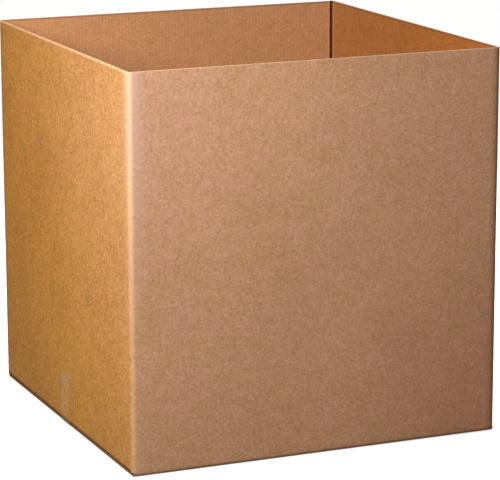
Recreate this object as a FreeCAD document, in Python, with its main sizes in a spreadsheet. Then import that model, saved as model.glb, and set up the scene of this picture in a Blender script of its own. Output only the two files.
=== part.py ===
"""An open-topped cube box of double wall corrugated board, folded from one blank.

The blank's four walls are scored and folded upright, its glue tab is stuck outside the back wall,
and its four bottom flaps meet in pairs at the middle, where a strip of clear tape holds them.
X runs along the front wall, Y from the front to the back, and Z up from the floor.
The origin is on the floor, below the middle of the inside.
"""
import FreeCAD, Part
import Sketcher
import os

# every size in millimetres
SIZES = {
    "inside_length": 762,  # along X, between the side walls
    "inside_width": 762,  # along Y, between the front and back walls
    "inside_height": 762,  # from the upper flaps to the rim
    "board": 7,  # thickness of the double wall board
    "fold_inner": 3,  # inside radius of the upright folds
    "bend_inner": 1,  # inside radius of the bottom folds
    "bend_lap": 1,  # how far a flap's bend runs up into its wall
    "flap_gap": 3,  # between the edges of two flaps that meet
    "outer_flap_inset": 3,  # from a side wall's face to the end of an outer flap
    "inner_flap_inset": 10.5,  # from the front wall's face to the end of an inner flap
    "joint_clear": 2,  # from the back wall's free end to the fold that closes the box
    "tab_width": 38,  # glue tab, from its fold to its free edge
    "tab_drop": 3,  # how far the tab starts below the rim
    "tab_bevel": 14,  # how much further it falls to its free edge
    "tape_width": 50,
    "tape_rise": 105,  # how far the tape climbs each side wall
    "tape_thickness": 0.2,
    "cut_margin": 5,  # how far a cutter reaches past what it cuts
}

# places and radii worked out from the sizes
INNER_X = "(sizes.inside_length / 2)"
INNER_Y = "(sizes.inside_width / 2)"
OUTER_X = "(sizes.inside_length / 2 + sizes.board)"
OUTER_Y = "(sizes.inside_width / 2 + sizes.board)"
TAB_FACE = "(sizes.inside_width / 2 + 2 * sizes.board)"
RIM = "(sizes.inside_height + 2 * sizes.board)"
FOLD_OUTER = "(sizes.fold_inner + sizes.board)"
BEND_OUTER = "(sizes.bend_inner + sizes.board)"
INNER_BEND_TOP = f"({BEND_OUTER} + sizes.board)"
BACK_WALL_END = f"({INNER_X} - sizes.fold_inner - sizes.joint_clear)"
TAB_START = f"({INNER_X} - sizes.fold_inner - sizes.joint_clear / 2)"
TAB_END = f"({OUTER_X} - {FOLD_OUTER} - sizes.tab_width)"
INNER_FLAP_HALF = f"({OUTER_Y} - sizes.inner_flap_inset)"
OUTER_FLAP_HALF = f"({OUTER_X} - sizes.outer_flap_inset)"


def make_sheet(doc):
    """The spreadsheet that holds the driving dimensions."""
    sheet = doc.addObject("Spreadsheet::Sheet", "sizes")
    for row, (alias, size) in enumerate(SIZES.items(), start=1):
        sheet.set(f"A{row}", alias)
        sheet.set(f"B{row}", str(size))
        sheet.setAlias(f"B{row}", alias)
    doc.recompute()


def make_body(doc, name):
    body = doc.addObject("PartDesign::Body", name)
    body.Label = name
    body.AllowCompound = True
    return body


def origin_plane(body, role):
    return next(plane for plane in body.Origin.OriginFeatures if plane.Role == role)


def make_sketch(body, name, role, offset=None):
    """A sketch on one of the body's own planes, moved along the plane's normal by a formula."""
    sketch = body.newObject("Sketcher::SketchObject", name)
    sketch.AttachmentSupport = [(origin_plane(body, role), "")]
    sketch.MapMode = "FlatFace"
    if offset:
        sketch.setExpression(".AttachmentOffset.Base.z", offset)
    return sketch


def tie(sketch, kind, *where):
    """Add a measured constraint; the last item of where is its formula."""
    *geometry, formula = where
    start = float(sketch.evalExpression(formula))
    index = sketch.addConstraint(Sketcher.Constraint(kind, *geometry, start))
    sketch.setExpression(f"Constraints[{index}]", formula)


def add_outline(sketch, corners):
    """Draw a closed outline whose lines and rounded corners are tied to the sizes.

    A corner is two formulas, its places along the sketch's axes, and a third, its radius, if it is
    round. A line runs along an axis where its two corners share a formula, and lines that meet in a
    round corner always do.
    """
    count = len(corners)
    places = []
    for corner in corners:
        across, up = (float(sketch.evalExpression(formula)) for formula in corner[:2])
        places.append(FreeCAD.Vector(across, up, 0))
    radii = [float(sketch.evalExpression(c[2])) if len(c) == 3 else 0.0 for c in corners]

    def towards(index, other):
        step = places[other] - places[index]
        return places[index] + step.normalize() * radii[index]

    first = len(sketch.Geometry)
    for i in range(count):
        j = (i + 1) % count
        sketch.addGeometry(Part.LineSegment(towards(i, j), towards(j, i)), False)
    upright = [corners[i][0] == corners[(i + 1) % count][0] for i in range(count)]
    level = [corners[i][1] == corners[(i + 1) % count][1] for i in range(count)]
    for i in range(count):
        line = first + i
        if upright[i]:
            sketch.addConstraint(Sketcher.Constraint("Vertical", line))
            tie(sketch, "DistanceX", line, 1, corners[i][0])
        elif level[i]:
            sketch.addConstraint(Sketcher.Constraint("Horizontal", line))
            tie(sketch, "DistanceY", line, 1, corners[i][1])

    for j in range(count):
        before, after = first + (j - 1) % count, first + j
        if radii[j]:
            add_round_corner(sketch, places[j], towards(j, j - 1), towards(j, (j + 1) % count),
                             before, after, corners[j][2])
            continue
        sketch.addConstraint(Sketcher.Constraint("Coincident", before, 2, after, 1))
        if not (upright[j - 1] or upright[j]):
            tie(sketch, "DistanceX", after, 1, corners[j][0])
        if not (level[j - 1] or level[j]):
            tie(sketch, "DistanceY", after, 1, corners[j][1])


def add_round_corner(sketch, corner, entry, exit_point, before, after, radius):
    """Join two lines that meet at a right angle with an arc that is tangent to both."""
    centre = entry + exit_point - corner
    turn = (corner - entry).cross(exit_point - corner).z
    ends = (entry, exit_point) if turn > 0 else (exit_point, entry)
    across = FreeCAD.Vector(1, 0, 0)
    angles = [across.getAngle(p - centre) * (1 if p.y >= centre.y else -1) for p in ends]
    circle = Part.Circle(centre, FreeCAD.Vector(0, 0, 1), (entry - centre).Length)
    arc = sketch.addGeometry(Part.ArcOfCircle(circle, *angles), False)
    arc_from, arc_to = (1, 2) if turn > 0 else (2, 1)
    sketch.addConstraint(Sketcher.Constraint("Tangent", before, 2, arc, arc_from))
    sketch.addConstraint(Sketcher.Constraint("Tangent", arc, arc_to, after, 1))
    tie(sketch, "Radius", arc, radius)


def finish_sketch(sketch):
    sketch.Document.recompute()
    if sketch.solve() != 0 or not sketch.FullyConstrained:
        raise RuntimeError(f"the sketch {sketch.Name} isn't held by its constraints")


def make_prism(body, kind, name, sketch, reach):
    """Pad or pocket a sketch. Reach is one formula for half on each side, or one for each side."""
    finish_sketch(sketch)
    feature = body.newObject(f"PartDesign::{kind}", name)
    feature.Profile = sketch
    if isinstance(reach, tuple):
        feature.SideType = "Two sides"
        feature.setExpression("Length", reach[0])
        feature.setExpression("Length2", reach[1])
    else:
        feature.SideType = "Symmetric"
        feature.setExpression("Length", f"2 * {reach}")
    body.Document.recompute()
    return feature


def make_upward(body, kind, name, sketch, height):
    """Pad a level sketch upwards, or pocket the solid above it."""
    finish_sketch(sketch)
    feature = body.newObject(f"PartDesign::{kind}", name)
    feature.Profile = sketch
    feature.SideType = "One side"
    feature.Reversed = kind == "Pocket"
    feature.setExpression("Length", height)
    body.Document.recompute()
    return feature


def flap_section(face, inner_face, edge, floor, bend_top):
    """Corners of a bottom flap's section: down its wall, round the bend and in to its free edge."""
    top = f"({bend_top} + sizes.bend_lap)"
    upper = f"({floor} + sizes.board)"
    return [
        (face, top),
        (face, floor, BEND_OUTER),
        (edge, floor),
        (edge, upper),
        (inner_face, upper, "sizes.bend_inner"),
        (inner_face, top),
    ]


def make_outer_flaps(body):
    """The front and back walls' flaps, which lie lowest. The back wall's flap ends with its wall."""
    right_ends = {"front": OUTER_FLAP_HALF, "back": BACK_WALL_END}
    for (name, right_end), side in zip(right_ends.items(), ("-1", "1")):
        sketch = make_sketch(body, f"{name}_flap_section", "YZ_Plane")
        face, inner_face = f"{side} * {OUTER_Y}", f"{side} * {INNER_Y}"
        edge = f"{side} * sizes.flap_gap / 2"
        add_outline(sketch, flap_section(face, inner_face, edge, "0", BEND_OUTER))
        make_prism(body, "Pad", f"{name}_flap", sketch, (right_end, OUTER_FLAP_HALF))


def round_flap_corners(body):
    """Round the outer flaps' corners where the upright folds come down to them."""
    sketch = make_sketch(body, "corner_plan", "XY_Plane")
    far_x = f"({OUTER_X} + sizes.cut_margin)"
    far_y = f"({OUTER_Y} + sizes.cut_margin)"
    add_outline(sketch, [
        (f"-{far_x}", f"-{far_y}"), (far_x, f"-{far_y}"), (far_x, far_y), (f"-{far_x}", far_y),
    ])
    add_outline(sketch, [
        (f"-{OUTER_X}", f"-{OUTER_Y}", FOLD_OUTER),
        (OUTER_X, f"-{OUTER_Y}", FOLD_OUTER),
        (OUTER_X, OUTER_Y),
        (f"-{OUTER_X}", OUTER_Y, FOLD_OUTER),
    ])
    make_upward(body, "Pocket", "flap_corners", sketch, f"{BEND_OUTER} + sizes.bend_lap")


def make_walls(body):
    """Four walls in one run of board, from the back wall's free end round to the tab's fold."""
    sketch = make_sketch(body, "wall_plan", "XY_Plane", BEND_OUTER)
    add_outline(sketch, [
        (BACK_WALL_END, OUTER_Y),
        (f"-{OUTER_X}", OUTER_Y, FOLD_OUTER),
        (f"-{OUTER_X}", f"-{OUTER_Y}", FOLD_OUTER),
        (OUTER_X, f"-{OUTER_Y}", FOLD_OUTER),
        (OUTER_X, TAB_FACE, FOLD_OUTER),
        (TAB_START, TAB_FACE),
        (TAB_START, OUTER_Y),
        (INNER_X, OUTER_Y, "sizes.fold_inner"),
        (INNER_X, f"-{INNER_Y}", "sizes.fold_inner"),
        (f"-{INNER_X}", f"-{INNER_Y}", "sizes.fold_inner"),
        (f"-{INNER_X}", INNER_Y, "sizes.fold_inner"),
        (BACK_WALL_END, INNER_Y),
    ])
    make_upward(body, "Pad", "walls", sketch, f"{RIM} - {BEND_OUTER}")


def make_inner_flaps(body):
    """The side walls' flaps, which lie on the outer ones. Each wall stops higher up to let them."""
    sketch = make_sketch(body, "side_wall_foot", "YZ_Plane")
    add_outline(sketch, [
        (f"-{INNER_FLAP_HALF}", "sizes.board"),
        (INNER_FLAP_HALF, "sizes.board"),
        (INNER_FLAP_HALF, INNER_BEND_TOP),
        (f"-{INNER_FLAP_HALF}", INNER_BEND_TOP),
    ])
    make_prism(body, "Pocket", "side_wall_feet", sketch, f"({OUTER_X} + sizes.cut_margin)")

    sketch = make_sketch(body, "side_flap_section", "XZ_Plane")
    edge = "-1 * sizes.flap_gap / 2"
    add_outline(sketch, flap_section(f"-{OUTER_X}", f"-{INNER_X}", edge, "sizes.board",
                                     INNER_BEND_TOP))
    left = make_prism(body, "Pad", "left_flap", sketch, INNER_FLAP_HALF)
    right = body.newObject("PartDesign::Mirrored", "right_flap")
    right.Originals = [left]
    right.MirrorPlane = (origin_plane(body, "YZ_Plane"), [""])
    body.Tip = right
    body.Document.recompute()


def make_glue_tab(body):
    """The tab that closes the walls, stuck outside the back wall, with its two ends bevelled."""
    sketch = make_sketch(body, "tab_plan", "XY_Plane", BEND_OUTER)
    add_outline(sketch, [
        (TAB_END, OUTER_Y), (TAB_START, OUTER_Y), (TAB_START, TAB_FACE), (TAB_END, TAB_FACE),
    ])
    make_upward(body, "Pad", "glue_tab", sketch, f"{RIM} - {BEND_OUTER}")

    depth = f"(sizes.board + sizes.cut_margin)"
    offset = f"-({OUTER_Y} + {depth})"
    sketch = make_sketch(body, "tab_ends", "XZ_Plane", offset)
    past_tab = f"({TAB_END} - sizes.cut_margin)"
    fall = "(sizes.tab_drop + sizes.tab_bevel)"
    for level, into in ((RIM, "-1"), (BEND_OUTER, "1")):
        outside = f"({level} - {into} * sizes.cut_margin)"
        add_outline(sketch, [
            (INNER_X, outside),
            (INNER_X, f"({level} + {into} * sizes.tab_drop)"),
            (TAB_END, f"({level} + {into} * {fall})"),
            (past_tab, f"({level} + {into} * {fall})"),
            (past_tab, outside),
        ])
    finish_sketch(sketch)
    bevels = body.newObject("PartDesign::Pocket", "tab_bevels")
    bevels.Profile = sketch
    bevels.SideType = "One side"
    bevels.Reversed = True
    bevels.setExpression("Length", depth)
    body.Document.recompute()


def make_box_blank(doc):
    """The whole blank in one piece, standing on the tape's thickness."""
    body = make_body(doc, "box_blank")
    make_outer_flaps(body)
    round_flap_corners(body)
    make_walls(body)
    make_inner_flaps(body)
    make_glue_tab(body)
    body.setExpression(".Placement.Base.z", "sizes.tape_thickness")
    return body


def make_bottom_tape(doc):
    """Clear tape along the bottom seam and up the middle of both side walls."""
    body = make_body(doc, "bottom_tape")
    sketch = make_sketch(body, "tape_section", "XZ_Plane")
    film_x = f"({OUTER_X} + sizes.tape_thickness)"
    turn, film_turn = "sizes.outer_flap_inset", "(sizes.outer_flap_inset + sizes.tape_thickness)"
    add_outline(sketch, [
        (f"-{film_x}", "sizes.tape_rise"),
        (f"-{film_x}", "0", film_turn),
        (film_x, "0", film_turn),
        (film_x, "sizes.tape_rise"),
        (OUTER_X, "sizes.tape_rise"),
        (OUTER_X, "sizes.tape_thickness", turn),
        (f"-{OUTER_X}", "sizes.tape_thickness", turn),
        (f"-{OUTER_X}", "sizes.tape_rise"),
    ])
    make_prism(body, "Pad", "tape_film", sketch, "(sizes.tape_width / 2)")
    return body


def check_document(doc, bodies):
    """Stop before anything is written if a feature failed or a sub-part isn't one sound solid."""
    for thing in doc.Objects:
        if "Invalid" in thing.State or "Error" in thing.State:
            raise RuntimeError(f"{thing.Name} failed: {thing.State}")
    for body in bodies:
        shape = body.Shape
        if shape.isNull() or not shape.isValid() or len(shape.Solids) != 1:
            raise RuntimeError(f"{body.Label} isn't one valid solid")


def main():
    doc = FreeCAD.newDocument("open_box")
    make_sheet(doc)
    bodies = [make_box_blank(doc), make_bottom_tape(doc)]
    doc.recompute()
    check_document(doc, bodies)
    os.makedirs("parts", exist_ok=True)
    for body in bodies:
        body.Shape.exportStep(f"parts/{body.Label}.step")
        box = body.Shape.BoundBox
        print(body.Label, f"volume {body.Shape.Volume:.0f} mm3,",
              f"X {box.XMin:.1f} to {box.XMax:.1f}, Y {box.YMin:.1f} to {box.YMax:.1f},",
              f"Z {box.ZMin:.1f} to {box.ZMax:.1f}")


main()
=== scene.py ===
"""An open-topped box of double wall corrugated board, with its fluted edges and clear seam tape.

Every sheet of the board is a mesh of its own: two kraft liners, a middle liner and two fluted
mediums between them. They run in plan from the back wall's free end round to the glue tab, and
down each wall, round its bottom bend and in along its flap. Sizes are in metres.
"""
import math

import bpy
import numpy as np
from mathutils import Matrix, Vector


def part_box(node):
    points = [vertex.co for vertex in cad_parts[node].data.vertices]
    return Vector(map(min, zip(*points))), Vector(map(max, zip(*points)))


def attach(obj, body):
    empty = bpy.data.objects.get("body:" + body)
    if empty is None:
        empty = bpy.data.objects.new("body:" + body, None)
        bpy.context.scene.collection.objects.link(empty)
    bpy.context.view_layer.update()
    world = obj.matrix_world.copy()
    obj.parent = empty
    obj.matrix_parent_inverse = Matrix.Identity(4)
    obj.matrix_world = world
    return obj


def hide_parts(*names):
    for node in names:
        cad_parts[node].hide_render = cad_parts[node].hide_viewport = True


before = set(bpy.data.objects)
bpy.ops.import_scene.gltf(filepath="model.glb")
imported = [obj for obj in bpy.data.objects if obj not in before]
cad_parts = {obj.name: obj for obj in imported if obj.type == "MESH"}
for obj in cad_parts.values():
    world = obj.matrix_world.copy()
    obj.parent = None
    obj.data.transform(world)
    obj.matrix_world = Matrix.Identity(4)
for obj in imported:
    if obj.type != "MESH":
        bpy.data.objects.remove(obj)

bl_info = {
    "name": "Open Corrugated Box",
    "version": (1, 0, 0),
    "blender": (4, 5, 0),
    "location": "View3D > Sidebar > Box",
    "description": "Builds an open-topped corrugated box with fluted edges, tape and a studio",
    "category": "Add Mesh",
}

BOX_LOW, BOX_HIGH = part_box("box_blank")
TAPE_LOW, TAPE_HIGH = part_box("bottom_tape")
MILLIMETRE = 0.001
SEED = 7
WELD = 2e-7  # points that lie nearer than this are one
SLACK = 1e-9  # for distances along the run that meet
FOLD_COLUMNS = 9
BEND_ROWS = 7
SHARP_ANGLE = math.radians(40)  # edges that turn by more than this stay sharp


# settings that a user would change
class BoardSettings(bpy.types.PropertyGroup):
    thickness: bpy.props.FloatProperty(
        name="Board thickness", description="Double wall board, over both liners",
        default=7 * MILLIMETRE, unit="LENGTH")
    liner: bpy.props.FloatProperty(
        name="Liner thickness", description="Each outside sheet of the board",
        default=0.5 * MILLIMETRE, unit="LENGTH")
    medium: bpy.props.FloatProperty(
        name="Flute paper thickness", description="The fluted sheets and the middle liner",
        default=0.38 * MILLIMETRE, unit="LENGTH")
    outer_flute: bpy.props.FloatProperty(
        name="Outer flute height", description="Between the outer and the middle liner",
        default=2.5 * MILLIMETRE, unit="LENGTH")
    outer_pitch: bpy.props.FloatProperty(
        name="Outer flute pitch", description="From crest to crest, behind the outer liner",
        default=6.43 * MILLIMETRE, unit="LENGTH")
    inner_pitch: bpy.props.FloatProperty(
        name="Inner flute pitch", description="From crest to crest, behind the inner liner",
        default=7.59 * MILLIMETRE, unit="LENGTH")
    outer_washboard: bpy.props.FloatProperty(
        name="Outer washboard depth", description="How far the outer liner sinks between flutes",
        default=0.06 * MILLIMETRE, unit="LENGTH")
    inner_washboard: bpy.props.FloatProperty(
        name="Inner washboard depth", description="How far the inner liner sinks between flutes",
        default=0.10 * MILLIMETRE, unit="LENGTH")
    fold_inner: bpy.props.FloatProperty(
        name="Fold radius", description="Inside radius of the upright folds",
        default=3 * MILLIMETRE, unit="LENGTH")
    bend_inner: bpy.props.FloatProperty(
        name="Bottom bend radius", description="Inside radius of the flaps' bends",
        default=1 * MILLIMETRE, unit="LENGTH")
    flap_gap: bpy.props.FloatProperty(
        name="Flap gap", description="Between the edges of two flaps that meet",
        default=3 * MILLIMETRE, unit="LENGTH")
    outer_flap_inset: bpy.props.FloatProperty(
        name="Outer flap inset", description="From a side wall's face to an outer flap's end",
        default=3 * MILLIMETRE, unit="LENGTH")
    inner_flap_inset: bpy.props.FloatProperty(
        name="Inner flap inset", description="From the front wall's face to an inner flap's end",
        default=10.5 * MILLIMETRE, unit="LENGTH")
    joint_clear: bpy.props.FloatProperty(
        name="Joint clearance", description="From the back wall's free end to the closing fold",
        default=2 * MILLIMETRE, unit="LENGTH")
    tab_width: bpy.props.FloatProperty(
        name="Glue tab width", description="From its fold to its free edge",
        default=38 * MILLIMETRE, unit="LENGTH")
    tab_drop: bpy.props.FloatProperty(
        name="Glue tab drop", description="How far the tab starts below the rim",
        default=3 * MILLIMETRE, unit="LENGTH")
    tab_bevel: bpy.props.FloatProperty(
        name="Glue tab bevel", description="How much further it falls to its free edge",
        default=14 * MILLIMETRE, unit="LENGTH")
    ragged: bpy.props.FloatProperty(
        name="Ragged cut", description="How uneven the knife left the rim",
        default=0.35 * MILLIMETRE, unit="LENGTH")
    kraft_light: bpy.props.FloatVectorProperty(
        name="Light kraft", description="Palest fibres of the liners",
        subtype="COLOR", size=4, default=(0.66, 0.39, 0.23, 1))
    kraft_mid: bpy.props.FloatVectorProperty(
        name="Kraft", description="The liners' main colour",
        subtype="COLOR", size=4, default=(0.50, 0.272, 0.145, 1))
    kraft_dark: bpy.props.FloatVectorProperty(
        name="Dark kraft", description="Darkest fibres of the liners",
        subtype="COLOR", size=4, default=(0.34, 0.165, 0.075, 1))
    # this colour is laid as wear, and as the painted highlight on the front left fold
    worn_and_highlight: bpy.props.FloatVectorProperty(
        name="Worn kraft", description="Stretched, rubbed paper on the folds",
        subtype="COLOR", size=4, default=(0.60, 0.395, 0.26, 1))
    # painted shade on the three folds other than the front left one
    fold_shade: bpy.props.FloatVectorProperty(
        name="Soiled fold tone", description="Lean of the folds that have been handled the most",
        subtype="COLOR", size=4, default=(0.68, 0.57, 0.47, 1))
    # painted shade along the back and right rims and on the inside just below them
    rim_shade_tone: bpy.props.FloatVectorProperty(
        name="Grey rim tone", description="Lean of the cut rim where dust has settled on it",
        subtype="COLOR", size=4, default=(0.52, 0.50, 0.52, 1))
    cut_edge: bpy.props.FloatVectorProperty(
        name="Cut edge", description="Bare fibres of the fluted sheets and the cut rim",
        subtype="COLOR", size=4, default=(0.78, 0.56, 0.38, 1))
    # painted warm light on the side walls' outside paper
    side_warm_light: bpy.props.FloatVectorProperty(
        name="Side wall tone", description="Lean of the side walls' outside paper towards gold",
        subtype="COLOR", size=4, default=(0.97, 0.86, 0.30, 1))
    # an orange lean, and painted light that makes the inside paper brighter
    inner_tone_and_light: bpy.props.FloatVectorProperty(
        name="Inside tone", description="Lean of the inside paper towards orange",
        subtype="COLOR", size=4, default=(1.10, 1.04, 0.93, 1))
    # painted shade with a warm cast on the side walls' inside paper
    inner_side_shade: bpy.props.FloatVectorProperty(
        name="Inside side tone", description="Further lean of the side walls' inside paper",
        subtype="COLOR", size=4, default=(0.80, 0.64, 0.43, 1))
    # painted shade: the dark colour laid down in the narrow joint, where shade falls
    joint_shade: bpy.props.FloatVectorProperty(
        name="Dried glue", description="Glue that has darkened the paper down in the joint",
        subtype="COLOR", size=4, default=(0.15, 0.018, 0.002, 1))


class TapeSettings(bpy.types.PropertyGroup):
    film: bpy.props.FloatProperty(
        name="Film thickness", description="The clear film and its glue",
        default=0.12 * MILLIMETRE, unit="LENGTH")
    tooth: bpy.props.FloatProperty(
        name="Cut tooth", description="Pitch of the teeth that cut the tape's ends",
        default=2.5 * MILLIMETRE, unit="LENGTH")
    colour: bpy.props.FloatVectorProperty(
        name="Film colour", description="The clear film's faint tone",
        subtype="COLOR", size=4, default=(0.48, 0.45, 0.25, 1))
    opacity: bpy.props.FloatProperty(
        name="Film opacity", description="How much of the board the film hides",
        default=0.06, min=0, max=1, subtype="FACTOR")


class StageSettings(bpy.types.PropertyGroup):
    camera_place: bpy.props.FloatVectorProperty(
        name="Camera place", description="Where the camera stands",
        subtype="TRANSLATION", size=3, default=(-1.97484, -4.68872, 1.49922))
    azimuth: bpy.props.FloatProperty(
        name="Azimuth", description="Camera's turn about the upright",
        default=math.radians(-23.0503), subtype="ANGLE")
    elevation: bpy.props.FloatProperty(
        name="Elevation", description="Camera's height above the level",
        default=math.radians(12.7656), subtype="ANGLE")
    roll: bpy.props.FloatProperty(
        name="Roll", description="Camera's turn about its own view",
        default=math.radians(-0.1534), subtype="ANGLE")
    lens: bpy.props.FloatProperty(
        name="Focal length", description="In millimetres, on a 36 mm wide sensor",
        default=182.109)
    floor_colour: bpy.props.FloatVectorProperty(
        name="Floor colour", description="The pale floor",
        subtype="COLOR", size=4, default=(0.82, 0.82, 0.82, 1))
    key_power: bpy.props.FloatProperty(
        name="Left lamp", description="Warm soft lamp at the left, in watts", default=23.5)
    front_power: bpy.props.FloatProperty(
        name="Front lamp", description="Cooler soft lamp at the front, in watts", default=19.6)
    back_power: bpy.props.FloatProperty(
        name="Back lamp", description="Soft lamp behind the far corner, in watts", default=44)
    sky: bpy.props.FloatProperty(
        name="Sky", description="Even light from all round", default=0.19)


# the board's run in plan, and its flaps
class Run:
    """The board's mid line in plan: straight walls joined by quarter turns to the left."""

    def __init__(self, board):
        self.board = board
        self.half = board.thickness / 2
        self.turn = board.fold_inner + self.half
        self.fold_outer = board.fold_inner + board.thickness
        outer_y = -BOX_LOW.y  # the tab reaches further, behind the back wall
        self.mid_x, self.mid_y = BOX_HIGH.x - self.half, outer_y - self.half
        back_end = BOX_HIGH.x - board.thickness - board.fold_inner - board.joint_clear
        near_x, near_y = BOX_HIGH.x - self.fold_outer, outer_y - self.fold_outer
        tab_y = BOX_HIGH.y - self.fold_outer
        straights = [back_end + near_x, 2 * near_y, 2 * near_x, near_y + tab_y, board.tab_width]
        bend = self.turn * math.pi / 2
        self.pieces = []
        at, place, heading = 0.0, Vector((back_end, self.mid_y)), math.pi
        for index, length in enumerate(straights):
            self.pieces.append((at, length, place, heading, 0.0))
            along = Vector((math.cos(heading), math.sin(heading)))
            at, place = at + length, place + along * length
            if index == len(straights) - 1:
                break
            self.pieces.append((at, bend, place, heading, 1 / self.turn))
            left = Vector((-along.y, along.x))
            at, place = at + bend, place + (along + left) * self.turn
            heading += math.pi / 2
        self.length = at
        self.back, self.left, self.front, self.right, self.tab = self.pieces[::2]
        self.closing_fold = self.pieces[-2]

    def straight(self, piece, along, offset):
        """Points on a straight wall's line, or past its ends, at an offset towards the outside."""
        at, _, place, heading, _ = piece
        step = along - at
        x = place.x + step * math.cos(heading) + offset * math.sin(heading)
        y = place.y + step * math.sin(heading) - offset * math.cos(heading)
        return x, y

    def points(self, along, offset):
        """Points at distances along the run, at an offset towards the outside."""
        x, y = np.zeros_like(along), np.zeros_like(along)
        for piece in self.pieces:
            at, length, place, heading, curve = piece
            inside = within(along, at, at + length)
            if not curve:
                px, py = self.straight(piece, along, offset)
            else:
                angle = heading + (along - at) * curve
                centre_x = place.x - self.turn * math.sin(heading)
                centre_y = place.y + self.turn * math.cos(heading)
                px = centre_x + (self.turn + offset) * np.sin(angle)
                py = centre_y - (self.turn + offset) * np.cos(angle)
            x[inside], y[inside] = px[inside], py[inside]
        return x, y

    def flap_span(self, piece, inset):
        """Where along the run a wall's flap starts and ends, inset from the corners."""
        at, length = piece[:2]
        reach = self.fold_outer - inset
        return at - reach, at + length + reach

    def columns(self, spacing, breaks=()):
        """Distances along the run: an even spacing, every change of piece and smooth folds."""
        least = 0.12 * spacing  # marks that lie nearer than this become one
        marks = [*np.arange(0, self.length, spacing), self.length, *breaks]
        for at, length, _, _, curve in self.pieces:
            marks += list(np.linspace(at, at + length, FOLD_COLUMNS if curve else 2))
        marks = np.sort(np.array(marks))
        keep = np.concatenate([[True], np.diff(marks) > least])
        for mark in (*(piece[0] for piece in self.pieces), self.length, *breaks):
            keep[np.abs(marks - mark) < least] = False
            keep[np.argmin(np.abs(marks - mark))] = True
        return marks[keep]


def within(along, low, high):
    """Which distances along the run lie between two others."""
    return (along >= low - SLACK) & (along <= high + SLACK)


class SheetMesh:
    """Collects grids of points as one mesh whose touching edges are welded."""

    def __init__(self):
        self.points, self.faces, self.crests, self.count = [], [], [], 0

    def grid(self, x, y, z, crest, flip):
        """Add a grid: rows run down the board and columns along it."""
        x, y, z, crest = np.broadcast_arrays(x, y, z, crest)
        rows, cols = x.shape
        index = self.count + np.arange(rows * cols).reshape(rows, cols)
        a, b = index[:-1, :-1].ravel(), index[:-1, 1:].ravel()
        c, d = index[1:, 1:].ravel(), index[1:, :-1].ravel()
        order = (a, b, c, d) if flip else (a, d, c, b)
        self.faces.append(np.stack(order, axis=1))
        self.points.append(np.stack([x.ravel(), y.ravel(), z.ravel()], axis=1))
        self.crests.append(crest.ravel())
        self.count += rows * cols

    def welded(self):
        """Points, faces and crests, with the points that touch made one."""
        points, faces = np.concatenate(self.points), np.concatenate(self.faces)
        keys = np.round(points / WELD).astype(np.int64)
        _, first, where = np.unique(keys, axis=0, return_index=True, return_inverse=True)
        return points[first], where.ravel()[faces], np.concatenate(self.crests)[first]


def cut_noise(along, seed, size):
    """A ragged, repeatable height for a cut edge, never above zero."""
    rates = (173, 411, 907, 1733, 2617, 3989)  # in radians per metre of board
    phases = np.random.default_rng(seed).uniform(0, math.tau, len(rates))
    waves = [np.sin(along * rate + phase) for rate, phase in zip(rates, phases)]
    return -size * np.clip(0.5 + sum(waves) / len(rates), 0, 1)


def washboard(crest_offset, depth, pitch):
    """A sheet's wave, or a flat sheet where the depth is zero.

    What it returns gives the sheet's offset, and how near its crest it is, along the run.
    """
    def offset_of(along):
        crest = 0.5 + 0.5 * np.cos(along * math.tau / pitch)
        return crest_offset - depth * (1 - crest), crest
    return offset_of


def wall_rows(fine):
    """Shares of a wall's height at its rows, from the rim down."""
    return np.array([0, 0.0015, 0.02, 0.25, 0.5, 0.75, 1.0]) if fine else np.array([0, 1.0])


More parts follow.
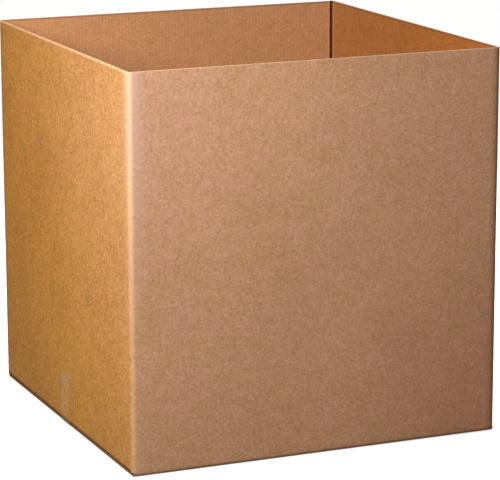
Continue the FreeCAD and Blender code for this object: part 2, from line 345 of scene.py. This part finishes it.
def lay_sheet(run, offset_of, spacing, seed, fine=True, facing=1, bends=True, setback=0.0):
    """One sheet of the board, over the walls, the glue tab and the four flaps.

    offset_of gives the sheet's offset and crest at distances along the run. A sheet that isn't
    fine has fewer rows. Its faces look inwards where facing is negative. Without bends the sheet
    leaves out the bottom bends, where nothing of it shows. The setback keeps its edges back from
    the cut.
    """
    board, mesh, flip = run.board, SheetMesh(), facing < 0
    floor = BOX_LOW.z
    bend_outer = board.bend_inner + board.thickness
    outer_foot, inner_foot = floor + bend_outer, floor + bend_outer + board.thickness
    front_span = run.flap_span(run.front, board.outer_flap_inset)
    back_span = (0.0, run.flap_span(run.back, board.outer_flap_inset)[1])
    left_span = run.flap_span(run.left, board.inner_flap_inset)
    # the right wall runs on to the tab, but its flap is only as wide as the left wall's
    right_low = run.flap_span(run.right, board.inner_flap_inset)[0]
    right_span = (right_low, right_low + left_span[1] - left_span[0])
    along = run.columns(spacing, (*left_span, *right_span))

    offset, crest = offset_of(along)
    x, y = run.points(along, offset)
    tab_at, tab_length = run.tab[:2]
    bevel = np.clip((along - tab_at) / tab_length, 0, 1)
    # the tab is cut back from three quarters of the way round its fold
    fold_at, fold_length = run.closing_fold[:2]
    cut_back = along > fold_at + 0.75 * fold_length
    fall = cut_back * (board.tab_drop + board.tab_bevel * bevel)
    top = BOX_HIGH.z - setback + cut_noise(along, seed, board.ragged) - fall
    foot = outer_foot + fall
    middle = foot + (inner_foot - outer_foot)
    shares = wall_rows(fine)[:, None]
    mesh.grid(x, y, top + (middle - top) * shares, crest, flip)

    # below the inner flaps' bends, the walls go on down only between those flaps
    edges = [0.0, *left_span, *right_span, run.length]
    for low, high in zip(edges[::2], edges[1::2]):
        part = within(along, low, high)
        mesh.grid(x[part], y[part], np.stack([middle[part], foot[part]]), crest[part], flip)

    flaps = [
        (run.back, back_span, outer_foot, run.mid_y),
        (run.front, front_span, outer_foot, run.mid_y),
        (run.left, left_span, inner_foot, run.mid_x),
        (run.right, right_span, inner_foot, run.mid_x),
    ]
    angles = np.linspace(0, math.pi / 2, BEND_ROWS if fine else 3)
    end_step = 1.2 * MILLIMETRE
    for piece, (low, high), foot_level, mid in flaps:
        wall_low, wall_high = max(low, piece[0]), min(high, piece[0] + piece[1])
        part = np.concatenate([
            np.arange(low, wall_low - SLACK, end_step),
            along[within(along, wall_low, wall_high)],
            np.arange(high, wall_high + SLACK, -end_step)[::-1]])
        offset, crest = offset_of(part)
        centre = -(run.half + board.bend_inner)
        radius = offset - centre
        reach = mid - board.flap_gap / 2 + centre - setback
        reach = reach + cut_noise(part, seed + 5, board.ragged)
        rows = [(centre + radius * math.cos(angle), foot_level - radius * math.sin(angle))
                for angle in angles] if bends else []
        shares = (0.03, 0.5, 1.0) if bends else (0.03, 1.0)
        rows += [(centre - reach * share, foot_level - radius) for share in shares]
        inward, level = (np.stack(values) for values in zip(*rows))
        mesh.grid(*run.straight(piece, part, inward), level, crest, flip)
    return mesh.welded()


def make_piece(name, points, faces, crest):
    mesh = bpy.data.meshes.new(name)
    mesh.from_pydata(points.tolist(), [], faces.tolist())
    values = mesh.attributes.new("crest", "FLOAT", "POINT")
    values.data.foreach_set("value", crest.astype(np.float32))
    mesh.validate()
    piece = bpy.data.objects.new(name, mesh)
    bpy.context.scene.collection.objects.link(piece)
    return piece


def thicken(piece, thickness, offset):
    """Give a sheet its thickness, with the second material on its edges and its back."""
    solidify = piece.modifiers.new("thickness", "SOLIDIFY")
    solidify.thickness = thickness
    solidify.offset = offset
    solidify.use_even_offset = True
    solidify.material_offset = 1
    solidify.material_offset_rim = 1
    graph = bpy.context.evaluated_depsgraph_get()
    solid = bpy.data.meshes.new_from_object(piece.evaluated_get(graph))
    piece.modifiers.clear()
    flat = piece.data
    piece.data = solid
    bpy.data.meshes.remove(flat)
    solid.shade_smooth()
    solid.set_sharp_from_angle(angle=SHARP_ANGLE)
    solid.name = piece.name


def seat_piece(piece, node, face, back):
    """Give a piece its materials, hang it under the root body and hide the part it stands for."""
    piece.data.materials.clear()
    piece.data.materials.append(face)
    piece.data.materials.append(back)
    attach(piece, "root")
    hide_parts(node)


# materials; a lean is a colour that is multiplied into the paper's own
# the leans below are painted light and shade
FAR_SIDE_SHADE_LEAN = (0.95, 0.90, 0.90, 1)
LOW_RIGHT_SHADE_LEAN = (0.90, 0.80, 0.80, 1)
HIGH_LEFT_COOL_LIGHT_LEAN = (0.98, 0.98, 1.13, 1)
CREASE_SHADE_LEAN = (0.50, 0.59, 0.62, 1)
FOOT_SHADE_LEAN = (0.72, 0.68, 0.64, 1)
NEAR_INSIDE_SHADE_LEAN = (0.84, 0.74, 0.56, 1)
BARE_FOOT_SHADE_LEAN = (0.30, 0.25, 0.22, 1)
FADE = 0.1  # half the width of the band in which one wall's painted light and wear fade into the next one's
CREASE_DARKEST = 0.3  # height below which the painted shade in the creases is at its darkest


def add_node(tree, kind, inputs=None, **settings):
    """Add a shader node; an input is a plain value or another node's output socket."""
    node = tree.nodes.new(kind)
    for key, setting in settings.items():
        setattr(node, key, setting)
    for key, given in (inputs or {}).items():
        set_input(tree, node.inputs[key], given)
    return node


def set_input(tree, socket, given):
    """Link another node's output to a socket, or set the socket's own value."""
    if isinstance(given, bpy.types.NodeSocket):
        tree.links.new(given, socket)
    else:
        socket.default_value = given


def math_node(tree, operation, *values, clamp=False):
    node = add_node(tree, "ShaderNodeMath", dict(enumerate(values)), operation=operation)
    node.use_clamp = clamp
    return node.outputs[0]


def product(tree, total, *factors):
    """The product of two or more masks."""
    for factor in factors:
        total = math_node(tree, "MULTIPLY", total, factor)
    return total


def mix_colour(tree, share, first, second, blend="MIX"):
    node = add_node(tree, "ShaderNodeMix", data_type="RGBA", blend_type=blend)
    factor, first_colour, second_colour = (node.inputs[number] for number in (0, 6, 7))
    for socket, given in ((factor, share), (first_colour, first), (second_colour, second)):
        set_input(tree, socket, given)
    return node.outputs[2]


def shaded(colour, factor):
    """A colour made darker or paler."""
    return tuple(min(1.0, channel * factor) for channel in colour[:3]) + (1,)


def noise(tree, place, scale, detail, roughness=0.55, stretch=(1, 1, 1)):
    mapping = add_node(tree, "ShaderNodeMapping", {"Vector": place, "Scale": stretch})
    found = add_node(tree, "ShaderNodeTexNoise", {
        "Vector": mapping.outputs[0], "Scale": scale, "Detail": detail, "Roughness": roughness})
    return found.outputs[0]


def weighted(tree, pairs, start):
    """Start plus each value's swing about 0.5, times its weight."""
    total = start
    for value, weight in pairs:
        swing = math_node(tree, "MULTIPLY_ADD", value, weight, -0.5 * weight)
        total = math_node(tree, "ADD", total, swing)
    return total


def rising(tree, value, low, high, least=0.0):
    """A soft mask that goes from least at low to 1 at high, whichever of them is larger."""
    ramp = add_node(tree, "ShaderNodeMapRange", {
        "Value": value, "From Min": low, "From Max": high, "To Min": least},
        interpolation_type="SMOOTHSTEP")
    return ramp.outputs[0]


def spread(tree, value, least, most, low=0.0, high=1.0):
    """A straight ramp that goes from least at low to most at high."""
    ramp = add_node(tree, "ShaderNodeMapRange", {
        "Value": value, "From Min": low, "From Max": high, "To Min": least, "To Max": most})
    return ramp.outputs[0]


class Paper:
    """A kraft paper material that is built up in layers of colour.

    Its side mask covers what lies beyond a face's distance from the middle, to the left and to
    the right. Its golden mask covers the same, but the right wall only in part.
    """

    right_gold = 0.4
    side_contrast = 0.85

    def __init__(self, name, board, contrast, crest_weight, face):
        self.board, self.contrast, self.crest_weight = board, contrast, crest_weight
        self.material = bpy.data.materials.new(name)
        self.material.use_nodes = True
        self.tree = tree = self.material.node_tree
        self.shader = tree.nodes["Principled BSDF"]
        self.place = add_node(tree, "ShaderNodeTexCoord").outputs["Object"]
        self.x, self.y, self.z = add_node(tree, "ShaderNodeSeparateXYZ", {0: self.place}).outputs
        self.across = math_node(tree, "ABSOLUTE", self.x)
        self.deep = math_node(tree, "ABSOLUTE", self.y)
        self.clouds = noise(tree, self.place, 6, 2)
        self.blotch = noise(tree, self.place, 48, 2)
        self.mottle = noise(tree, self.place, 150, 2, 0.6)
        self.fibre = noise(tree, self.place, 430, 2, 0.65, (1, 1, 1.2))
        self.crest = add_node(tree, "ShaderNodeAttribute", attribute_name="crest").outputs["Fac"]
        self.side = rising(tree, self.across, face - 5 * MILLIMETRE, face - MILLIMETRE)
        left = rising(tree, self.x, MILLIMETRE, -MILLIMETRE)
        self.golden = product(tree, self.side,
                              math_node(tree, "MAXIMUM", left, self.right_gold))

    def base(self, dark, mid, light):
        """Cloudy, mottled, fibrous tone, with the flutes faintly showing through."""
        tree, contrast = self.tree, self.contrast
        swing = weighted(tree, [
            (self.clouds, 0.25 * contrast), (self.blotch, 0.35 * contrast),
            (self.mottle, 0.90 * contrast), (self.fibre, 1.35 * contrast),
            (self.crest, self.crest_weight)], 0.0)
        stronger = math_node(tree, "MULTIPLY_ADD", self.golden, self.side_contrast, 1.0)
        tone = math_node(tree, "MULTIPLY_ADD", swing, stronger, 0.5)
        ramp = add_node(tree, "ShaderNodeValToRGB", {0: tone})
        ramp.color_ramp.elements[0].color = tuple(dark)
        ramp.color_ramp.elements[1].color = tuple(light)
        ramp.color_ramp.elements.new(0.5).color = tuple(mid)
        self.colour = ramp.outputs[0]

    def drift(self, share=1.0):
        """Patches that lean to pink or to gold."""
        hue = weighted(self.tree, [
            (noise(self.tree, self.place, 24, 3, 0.6), 1.6), (self.mottle, 1.2)], 0.5)
        pink = (1 + 0.03 * share, 1 - 0.03 * share, 1 + 0.09 * share, 1)
        gold = (1 - 0.03 * share, 1 + 0.03 * share, 1 - 0.12 * share, 1)
        lean = mix_colour(self.tree, hue, gold, pink)
        self.colour = mix_colour(self.tree, 1.0, self.colour, lean, "MULTIPLY")

    def flecks(self):
        """Short dark slivers of bark in the pulp."""
        spots = noise(self.tree, self.place, 230, 1, 0.4, (1, 1, 1.8))
        mask = spread(self.tree, spots, 0.0, 0.6, 0.68, 0.75)
        self.colour = mix_colour(self.tree, mask, self.colour, shaded(self.board.kraft_dark, 0.6))

    def cover(self, mask, colour, strength=1.0, blend="MIX"):
        """Lay a colour over the paper where the mask says."""
        share = product(self.tree, mask, strength)
        self.colour = mix_colour(self.tree, share, self.colour, tuple(colour), blend)

    def tint(self, mask, lean, strength=1.0):
        """Multiply a lean into the paper's colour where the mask says."""
        self.cover(mask, lean, strength, "MULTIPLY")

    def rubbed_and_lit(self):
        """A patchy mask that comes and goes with the mottle, for wear and for painted highlight.
        """
        return spread(self.tree, self.mottle, 0.55, 1.0, 0.3, 0.65)

    def finish(self, rough_low, rough_high, relief):
        tree, inputs = self.tree, self.shader.inputs
        tree.links.new(self.colour, inputs["Base Color"])
        tree.links.new(spread(tree, self.mottle, rough_low, rough_high), inputs["Roughness"])
        inputs["Specular IOR Level"].default_value = 0.3
        height = weighted(tree, [(self.fibre, 0.5), (self.mottle, 0.6), (self.blotch, 0.9)], 0.0)
        bump = add_node(tree, "ShaderNodeBump", {
            "Height": height, "Strength": relief, "Distance": 0.5 * MILLIMETRE})
        tree.links.new(bump.outputs[0], inputs["Normal"])
        return self.material


def outer_kraft(board):
    """The outside paper: gold at the sides from painted warm light, a painted highlight with some
    wear on the front left fold, painted shade on the other folds, and pale at its rim.
    """
    paper = Paper("outer_kraft", board, 1.0, 0.04, BOX_HIGH.x)
    paper.base(board.kraft_dark, board.kraft_mid, board.kraft_light)
    paper.drift()
    paper.flecks()
    paint_warm_light_on_sides(paper)
    paint_fold_highlight_shade_and_wear(paper)
    paint_light_and_shade_on_flat_walls(paper)
    fray_rim_and_shade_foot(paper)
    return paper.finish(0.72, 0.88, 0.6)


def paint_warm_light_on_sides(paper):
    """Paint warm light on the side walls as gold, more so towards the back and the floor, and
    paint shade on them towards the back.
    """
    tree = paper.tree
    warm_cast = weighted(tree, [(rising(tree, paper.y, BOX_LOW.y, BOX_HIGH.y), 0.6),
                           (rising(tree, paper.z, BOX_HIGH.z, BOX_LOW.z), 0.5),
                           (paper.blotch, 0.12)], 0.85)
    paper.tint(math_node(tree, "MULTIPLY", paper.golden, warm_cast, clamp=True), paper.board.side_warm_light)
    far = rising(tree, paper.y, -FADE, BOX_HIGH.y)
    paper.tint(product(tree, far, paper.golden), FAR_SIDE_SHADE_LEAN)


def paint_fold_highlight_shade_and_wear(paper):
    """Paint a pale highlight, with some real wear in it, on the front left fold, most of all near
    the rim, and paint shade on the other three.
    """
    tree, worn_and_highlight, face = paper.tree, paper.board.worn_and_highlight, BOX_HIGH.x
    nearer = math_node(tree, "MINIMUM", paper.across, paper.deep)
    beside_fold = rising(tree, nearer, face - 24 * MILLIMETRE, face - 4 * MILLIMETRE)
    front_left = product(tree, rising(tree, paper.x, FADE, -FADE),
                         rising(tree, paper.y, FADE, -FADE))
    kept_elsewhere = 0.15
    height = product(tree, rising(tree, paper.z, 0.3 * BOX_HIGH.z, BOX_HIGH.z, 0.32),
                     math_node(tree, "MAXIMUM", front_left, kept_elsewhere))
    # painted highlight: a faint pale halo round the front left fold
    halo = rising(tree, nearer, face - 43 * MILLIMETRE, face - 8 * MILLIMETRE)
    paper.cover(product(tree, halo, front_left, height), worn_and_highlight, 0.50)

    rubbed_and_lit = paper.rubbed_and_lit()
    # painted highlight along the front left fold near the rim, patchy with the mottle
    band = math_node(tree, "POWER", beside_fold, 1.6)
    upper = product(tree, rising(tree, paper.z, 0.3 * BOX_HIGH.z, BOX_HIGH.z), front_left)
    paper.cover(product(tree, band, rubbed_and_lit, upper), worn_and_highlight, 0.90)
    # painted highlight on the front left fold's ridge, with real wear kept on the other folds'
    # ridges
    ridge = product(
        tree, rising(tree, paper.deep, face - 9.5 * MILLIMETRE, face - 2 * MILLIMETRE),
        rising(tree, paper.across, face - 8 * MILLIMETRE, face - 4.5 * MILLIMETRE))
    paper.cover(product(tree, ridge, rubbed_and_lit, height), worn_and_highlight, 0.90)

    # painted shade on the other three folds, darker still low in their creases
    shadowed = product(tree, beside_fold, math_node(tree, "SUBTRACT", 1.0, front_left))
    paper.tint(shadowed, paper.board.fold_shade)
    crease = product(
        tree, rising(tree, nearer, face - 12.5 * MILLIMETRE, face - 3.5 * MILLIMETRE),
        spread(tree, paper.z, 0.6, 1.0, BOX_HIGH.z, CREASE_DARKEST))
    paper.tint(product(tree, shadowed, crease), CREASE_SHADE_LEAN)


def paint_light_and_shade_on_flat_walls(paper):
    """Paint shade on the front and back walls low at the right, and paint cool pink light on them
    high at the left.
    """
    tree = paper.tree
    flat = math_node(tree, "SUBTRACT", 1.0, paper.side)
    low_right = product(tree, rising(tree, paper.x, 0.0, BOX_HIGH.x),
                        rising(tree, paper.z, 0.6 * BOX_HIGH.z, BOX_LOW.z))
    paper.tint(product(tree, low_right, flat), LOW_RIGHT_SHADE_LEAN)
    high_left = product(tree, rising(tree, paper.x, 0.3 * BOX_LOW.x, BOX_LOW.x),
                        rising(tree, paper.z, 0.2 * BOX_HIGH.z, BOX_HIGH.z))
    paper.tint(product(tree, high_left, flat), HIGH_LEFT_COOL_LIGHT_LEAN)


def fray_rim_and_shade_foot(paper):
    """Fray the rim pale, more so on the side walls, and paint shade on the lowest edge."""
    tree, top = paper.tree, BOX_HIGH.z
    rim = rising(tree, paper.z, top - 4.5 * MILLIMETRE, top - MILLIMETRE)
    side_more = weighted(tree, [(paper.side, 0.7)], 0.5)
    paper.cover(product(tree, rim, paper.rubbed_and_lit(), side_more), paper.board.cut_edge)
    # painted shade along the lowest edge, by the floor
    paper.tint(rising(tree, paper.z, 5 * MILLIMETRE, 0.5 * MILLIMETRE), FOOT_SHADE_LEAN)


def inner_kraft(board):
    """The inside paper: its flutes show; it leans to orange and has painted light and shade:
    brighter all over, warm and darker on the side walls, darker just below the back and right
    rims, and dark down in the joint.
    """
    face = BOX_HIGH.x - board.thickness
    paper = Paper("inner_kraft", board, 0.75, 0.13, face)
    tree = paper.tree
    paper.base(board.kraft_dark, board.kraft_mid, board.kraft_light)
    paper.drift(0.5)
    paper.flecks()
    # painted light: the inside paper is made brighter, and leans to orange
    paper.tint(1.0, board.inner_tone_and_light)
    # painted shade with a warm cast on the inside of the side walls, deeper towards the front
    paper.tint(paper.side, board.inner_side_shade)
    near = rising(tree, paper.y, BOX_HIGH.y, 0.3 * BOX_LOW.y)
    paper.tint(product(tree, paper.side, near), NEAR_INSIDE_SHADE_LEAN)

    # painted shade on the inside just below the back and right rims
    top = rising(tree, paper.z, BOX_HIGH.z - 5 * MILLIMETRE, BOX_HIGH.z - 2 * MILLIMETRE)
    far = math_node(tree, "MAXIMUM", paper.x, paper.y)
    far_top_shade = rising(tree, far, 0.9 * BOX_HIGH.x, face)
    paper.tint(product(tree, top, far_top_shade), board.rim_shade_tone, 0.6)

    free_end = face - board.fold_inner - board.joint_clear
    corner = math_node(tree, "MINIMUM", paper.x, paper.y)
    lip = rising(tree, corner, free_end - 9 * MILLIMETRE, free_end - MILLIMETRE)
    paper.cover(lip, board.worn_and_highlight, 0.35)
    # painted shade down in the narrow joint behind the back wall's free end
    joint = product(tree, *(rising(tree, place, free_end, free_end + 1.8 * MILLIMETRE)
                            for place in (paper.x, paper.y)))
    paper.cover(joint, board.joint_shade, 0.97)
    return paper.finish(0.74, 0.9, 0.6)


def bare_kraft(board):
    """Bare fibres on the cut edges and on the sheets inside the board, with painted shade low down
    and on the back and right rims.
    """
    paper = Paper("bare_kraft", board, 0.6, 0.0, BOX_HIGH.x)
    paper.base(shaded(board.cut_edge, 0.75), board.cut_edge, board.cut_edge)
    # painted shade on the bare edges low down, by the floor
    foot = rising(paper.tree, paper.z, 16 * MILLIMETRE, 7 * MILLIMETRE)
    paper.tint(foot, BARE_FOOT_SHADE_LEAN)
    face = BOX_HIGH.x - board.thickness
    # painted shade on the cut edges of the back and right rims
    for place, strength in ((paper.x, 1.0), (paper.y, 0.85)):
        shaded_rims = rising(paper.tree, place, face - MILLIMETRE, face + MILLIMETRE)
        paper.tint(shaded_rims, board.rim_shade_tone, strength)
    return paper.finish(0.85, 0.95, 0.8)


def clear_film(settings):
    """Clear packing tape: a faint glossy film with long soft streaks in its glue."""
    material = bpy.data.materials.new("clear_film")
    material.use_nodes = True
    tree = material.node_tree
    inputs = tree.nodes["Principled BSDF"].inputs
    place = add_node(tree, "ShaderNodeTexCoord").outputs["Object"]
    streaks = noise(tree, place, 60, 3, 0.6, (1, 4, 0.25))
    bubbles = noise(tree, place, 110, 2, 0.5)
    colour = mix_colour(tree, streaks, tuple(settings.colour), shaded(settings.colour, 1.25))
    tree.links.new(colour, inputs["Base Color"])
    tree.links.new(spread(tree, bubbles, 0.12, 0.34), inputs["Roughness"])
    opacity = settings.opacity
    cloudy = spread(tree, streaks, opacity * 0.7, opacity * 1.3, 0.3, 0.7)
    level = add_node(tree, "ShaderNodeSeparateXYZ", {0: place}).outputs[2]
    lifted = rising(tree, level, TAPE_HIGH.z - 35 * MILLIMETRE, TAPE_HIGH.z - 10 * MILLIMETRE)
    hazy = product(tree, lifted, bubbles, opacity * 2)
    tree.links.new(math_node(tree, "ADD", cloudy, hazy), inputs["Alpha"])
    bump = add_node(tree, "ShaderNodeBump", {
        "Height": streaks, "Strength": 0.3, "Distance": 0.3 * MILLIMETRE})
    tree.links.new(bump.outputs[0], inputs["Normal"])
    return material


# operators, one for each group of pieces
class BuildLiners(bpy.types.Operator):
    """Build the kraft liners on the board's two faces and the plain one in its middle"""
    bl_idname = "open_box.build_liners"
    bl_label = "Build the liners"

    def execute(self, context):
        board = context.scene.box_board
        run = Run(board)
        outer_paper, inner_paper, edge_paper = (
            make(board) for make in (outer_kraft, inner_kraft, bare_kraft))
        faces = (
            ("outer_liner", 1, board.outer_pitch, board.outer_washboard, outer_paper),
            ("inner_liner", -1, board.inner_pitch, board.inner_washboard, inner_paper),
        )
        for number, (name, facing, pitch, depth, paper) in enumerate(faces):
            offset_of = washboard(facing * run.half, facing * depth, pitch)
            parts = lay_sheet(run, offset_of, pitch / 4, SEED + number, facing=facing)
            piece = make_piece(name, *parts)
            thicken(piece, board.liner, -1)
            seat_piece(piece, "box_blank", paper, edge_paper)

        middle = run.half - board.liner - board.outer_flute - board.medium / 2
        parts = lay_sheet(run, washboard(middle, 0.0, board.outer_pitch), 4 * MILLIMETRE,
                          SEED + 2, fine=False, setback=0.2 * MILLIMETRE)
        piece = make_piece("middle_liner", *parts)
        thicken(piece, board.medium, 0)
        seat_piece(piece, "box_blank", edge_paper, edge_paper)
        return {"FINISHED"}


class BuildFlutes(bpy.types.Operator):
    """Build the two fluted sheets between the liners"""
    bl_idname = "open_box.build_flutes"
    bl_label = "Build the flutes"

    def execute(self, context):
        board = context.scene.box_board
        run = Run(board)
        paper = bpy.data.materials["bare_kraft"]
        outer_top = run.half - board.liner
        outer_low = outer_top - board.outer_flute
        inner_top = outer_low - board.medium
        inner_low = -run.half + board.liner
        layers = (("outer_flutes", outer_top, outer_low, board.outer_pitch),
                  ("inner_flutes", inner_top, inner_low, board.inner_pitch))
        for number, (name, high, low, pitch) in enumerate(layers):
            swing = (high - low - board.medium) / 2 - board.inner_washboard
            wave = washboard((high + low) / 2 + swing, 2 * swing, pitch)
            parts = lay_sheet(run, wave, pitch / 8, SEED + 10 + number, fine=False, bends=False,
                              setback=0.3 * MILLIMETRE)
            piece = make_piece(name, *parts)
            thicken(piece, board.medium, 0)
            seat_piece(piece, "box_blank", paper, paper)
        return {"FINISHED"}


class BuildTape(bpy.types.Operator):
    """Lay the clear tape under the bottom seam and up the middle of both side walls"""
    bl_idname = "open_box.build_tape"
    bl_label = "Build the seam tape"

    def execute(self, context):
        board, tape = context.scene.box_board, context.scene.box_tape
        clear = 0.5 * (TAPE_HIGH.x - BOX_HIGH.x)
        face, floor = BOX_HIGH.x + clear, clear
        turn = board.outer_flap_inset + clear
        wall_points, floor_points = 12, 20
        route = [(-face, z) for z in np.linspace(TAPE_HIGH.z, turn, wall_points)]
        for angle in np.linspace(0, math.pi / 2, BEND_ROWS)[1:]:
            route.append((-face + turn * (1 - math.cos(angle)),
                          floor + turn * (1 - math.sin(angle))))
        route += [(x, floor) for x in np.linspace(-face + turn, 0, floor_points)[1:]]
        route += [(-x, z) for x, z in reversed(route[:-1])]
        route = np.array(route)
        count = int(round((TAPE_HIGH.y - TAPE_LOW.y) / tape.tooth)) * 2
        across = np.linspace(TAPE_LOW.y, TAPE_HIGH.y, count + 1)
        tooth_depth = 0.45 * tape.tooth
        teeth = np.where(np.arange(count + 1) % 2, tooth_depth, 0.0)
        level = np.repeat(route[:, 1:], count + 1, axis=1)
        level[[0, -1]] -= teeth
        film = SheetMesh()
        film.grid(route[:, :1], across, level, 0.0, True)
        piece = make_piece("seam_tape", *film.welded())
        thicken(piece, tape.film, 0)
        film_look = clear_film(tape)
        seat_piece(piece, "bottom_tape", film_look, film_look)
        return {"FINISHED"}


class BuildStage(bpy.types.Operator):
    """Set up the pale floor, the soft lamps, the sky and the camera"""
    bl_idname = "open_box.build_stage"
    bl_label = "Build the stage"

    def execute(self, context):
        stage = context.scene.box_stage
        make_floor(stage)
        make_sky(stage)
        make_lamp("left_lamp", place=(-1.42, -0.67, 1.27), size=0.45, power=stage.key_power,
                  colour=(1.0, 0.86, 0.60))
        make_lamp("front_lamp", place=(-0.74, -1.54, 1.32), size=0.45, power=stage.front_power,
                  colour=(0.90, 0.90, 1.0))
        make_lamp("back_lamp", place=(1.35, 1.35, 1.5), size=0.8, power=stage.back_power,
                  colour=(1.0, 0.97, 0.93))
        make_camera(stage)
        context.scene.view_settings.view_transform = "Standard"
        return {"FINISHED"}


def make_floor(stage):
    """A pale floor that looks white, apart from the shadow close round what stands on it."""
    half_size, shadow_reach, glow_strength = 30, 0.04, 0.85
    corners = [(x * half_size, y * half_size, 0) for x, y in ((-1, -1), (1, -1), (1, 1), (-1, 1))]
    mesh = bpy.data.meshes.new("floor")
    mesh.from_pydata(corners, [], [(0, 1, 2, 3)])
    floor = bpy.data.objects.new("floor", mesh)
    bpy.context.scene.collection.objects.link(floor)
    material = bpy.data.materials.new("floor_paint")
    material.use_nodes = True
    tree = material.node_tree
    tree.nodes.clear()
    rays = add_node(tree, "ShaderNodeLightPath")
    seen = math_node(tree, "MAXIMUM", rays.outputs["Is Camera Ray"], rays.outputs["Is Glossy Ray"])
    seen = math_node(tree, "MAXIMUM", seen, rays.outputs["Is Transmission Ray"])
    paint = add_node(tree, "ShaderNodeBsdfDiffuse", {"Color": tuple(stage.floor_colour)})
    open_floor = add_node(
        tree, "ShaderNodeAmbientOcclusion", {"Distance": shadow_reach}).outputs["AO"]
    glow = add_node(tree, "ShaderNodeEmission", {
        "Color": (1, 1, 1, 1), "Strength": product(tree, open_floor, glow_strength)})
    shown = add_node(tree, "ShaderNodeAddShader", {0: paint.outputs[0], 1: glow.outputs[0]})
    dull = add_node(tree, "ShaderNodeBsdfDiffuse", {"Color": (0.25, 0.25, 0.25, 1)})
    both = add_node(tree, "ShaderNodeMixShader", {
        0: seen, 1: dull.outputs[0], 2: shown.outputs[0]})
    add_node(tree, "ShaderNodeOutputMaterial", {"Surface": both.outputs[0]})
    mesh.materials.append(material)


def make_sky(stage):
    """Soft warm light from all round, where the camera sees plain white."""
    world = bpy.context.scene.world or bpy.data.worlds.new("sky")
    bpy.context.scene.world = world
    world.use_nodes = True
    tree = world.node_tree
    tree.nodes.clear()
    rays = add_node(tree, "ShaderNodeLightPath")
    soft = add_node(tree, "ShaderNodeBackground", {
        "Color": (1, 0.94, 0.86, 1), "Strength": stage.sky})
    white = add_node(tree, "ShaderNodeBackground", {"Color": (1, 1, 1, 1), "Strength": 1.0})
    both = add_node(tree, "ShaderNodeMixShader", {
        0: rays.outputs["Is Camera Ray"], 1: soft.outputs[0], 2: white.outputs[0]})
    add_node(tree, "ShaderNodeOutputWorld", {"Surface": both.outputs[0]})


def make_lamp(name, place, size, power, colour):
    """A square soft lamp aimed at the middle of the box."""
    data = bpy.data.lights.new(name, "AREA")
    data.size = size
    data.energy = power
    data.color = colour
    lamp = bpy.data.objects.new(name, data)
    lamp.location = place
    aim = Vector((0, 0, (BOX_LOW.z + BOX_HIGH.z) / 2)) - Vector(place)
    lamp.rotation_mode = "QUATERNION"
    lamp.rotation_quaternion = aim.to_track_quat("-Z", "Y")
    bpy.context.scene.collection.objects.link(lamp)


def make_camera(stage):
    """A plain camera, turned, lifted and rolled as the settings say."""
    data = bpy.data.cameras.new("camera")
    data.sensor_fit = "HORIZONTAL"
    data.sensor_width = 36
    data.lens = stage.lens
    data.clip_end = 100
    camera = bpy.data.objects.new("camera", data)
    turn, lift = stage.azimuth, stage.elevation
    back = Vector((math.sin(turn) * math.cos(lift), -math.cos(turn) * math.cos(lift),
                   math.sin(lift)))
    right = Vector((math.cos(turn), math.sin(turn), 0))
    up = back.cross(right)
    rolled_right = right * math.cos(stage.roll) + up * math.sin(stage.roll)
    rolled_up = up * math.cos(stage.roll) - right * math.sin(stage.roll)
    frame_of_view = Matrix((rolled_right, rolled_up, back)).transposed().to_4x4()
    camera.matrix_world = Matrix.Translation(Vector(stage.camera_place)) @ frame_of_view
    bpy.context.scene.collection.objects.link(camera)
    bpy.context.scene.camera = camera


class BoxPanel(bpy.types.Panel):
    """The box's operators and settings"""
    bl_idname = "VIEW3D_PT_open_box"
    bl_label = "Open Box"
    bl_space_type = "VIEW_3D"
    bl_region_type = "UI"
    bl_category = "Box"

    def draw(self, context):
        for operator in OPERATORS:
            self.layout.operator(operator.bl_idname)
        for settings in (context.scene.box_board, context.scene.box_tape, context.scene.box_stage):
            group = self.layout.box()
            for name in settings.bl_rna.properties.keys():
                if name not in ("rna_type", "name"):
                    group.prop(settings, name)


SETTINGS = {"box_board": BoardSettings, "box_tape": TapeSettings, "box_stage": StageSettings}
OPERATORS = (BuildLiners, BuildFlutes, BuildTape, BuildStage)


def register():
    for group in (*SETTINGS.values(), *OPERATORS, BoxPanel):
        bpy.utils.register_class(group)
    for name, group in SETTINGS.items():
        setattr(bpy.types.Scene, name, bpy.props.PointerProperty(type=group))


def unregister():
    for name in SETTINGS:
        delattr(bpy.types.Scene, name)
    for group in (BoxPanel, *OPERATORS, *SETTINGS.values()):
        bpy.utils.unregister_class(group)


def main():
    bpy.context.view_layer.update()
    register()
    bpy.ops.open_box.build_liners()
    bpy.ops.open_box.build_flutes()
    bpy.ops.open_box.build_tape()
    bpy.ops.open_box.build_stage()


if __name__ == "__main__":
    main()
